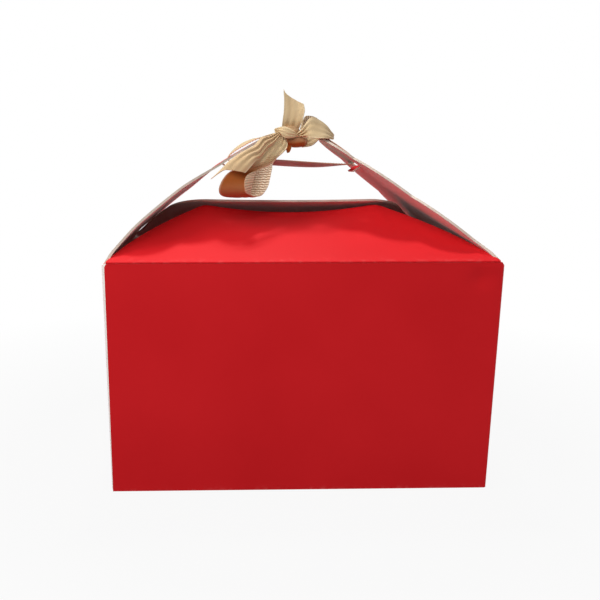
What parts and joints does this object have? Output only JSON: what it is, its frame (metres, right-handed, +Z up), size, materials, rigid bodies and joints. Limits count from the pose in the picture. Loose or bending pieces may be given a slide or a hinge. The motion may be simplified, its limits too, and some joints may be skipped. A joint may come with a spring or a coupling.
{
  "type": "gift box",
  "caption": "Red board gift carton with inward top flaps and scalloped end flaps tied together by a gold ribbon bow; all top flaps fold open on their creases.",
  "frame": {"origin": "centre of the base, on the surface the box stands on", "axes": "+X along the box's long side to the right as seen from the front wall, +Y from the front wall to the back wall, +Z up"},
  "size_m": [0.2002, 0.1402, 0.21],
  "materials": {
    "red_board": "satin laminated print outside, plain white inside",
    "plain_board": "uncoated",
    "gold_ribbon": "satin with fine cross ribs"
  },
  "bodies": {
    "carton": {"front_wall": "red_board", "back_wall": "red_board", "left_wall": "red_board", "right_wall": "red_board", "glue_tab": "plain_board", "bottom_front_flap": "red_board", "bottom_back_flap": "plain_board", "bottom_left_flap": "red_board", "bottom_right_flap": "red_board"},
    "right_flap": {"right_end_flap": "red_board", "right_slot_tab": "red_board", "ribbon_strand": "gold_ribbon", "ribbon_left_run": "gold_ribbon", "ribbon_right_run": "gold_ribbon", "bow_knot": "gold_ribbon", "bow_left_loop": "gold_ribbon", "bow_right_loop": "gold_ribbon", "bow_upper_tail": "gold_ribbon", "bow_left_tail": "gold_ribbon"},
    "left_flap": {"left_end_flap": "red_board", "left_slot_tab": "red_board"},
    "front_flap": {"front_top_flap": "red_board"},
    "back_flap": {"back_top_flap": "red_board"}
  },
  "joints": [
    {"name": "right_flap_fold", "type": "hinge", "parent": "carton", "child": "right_flap", "pos_m": [0.0994, 0, 0.122], "axis": [0, 1, 0], "range_deg": [0, 140], "deforming": ["ribbon_left_run"]},
    {"name": "left_flap_fold", "type": "hinge", "parent": "carton", "child": "left_flap", "pos_m": [-0.0994, 0, 0.122], "axis": [0, -1, 0], "range_deg": [0, 140]},
    {"name": "front_flap_fold", "type": "hinge", "parent": "carton", "child": "front_flap", "pos_m": [0, -0.0694, 0.122], "axis": [1, 0, 0], "range_deg": [0, 140]},
    {"name": "back_flap_fold", "type": "hinge", "parent": "carton", "child": "back_flap", "pos_m": [0, 0.0694, 0.122], "axis": [-1, 0, 0], "range_deg": [0, 140]}
  ],
  "couplings": [
    {"joint": "left_flap_fold", "follows": "right_flap_fold", "ratio": 1},
    {"joint": "front_flap_fold", "follows": "right_flap_fold", "ratio": 1},
    {"joint": "back_flap_fold", "follows": "right_flap_fold", "ratio": 1}
  ]
}
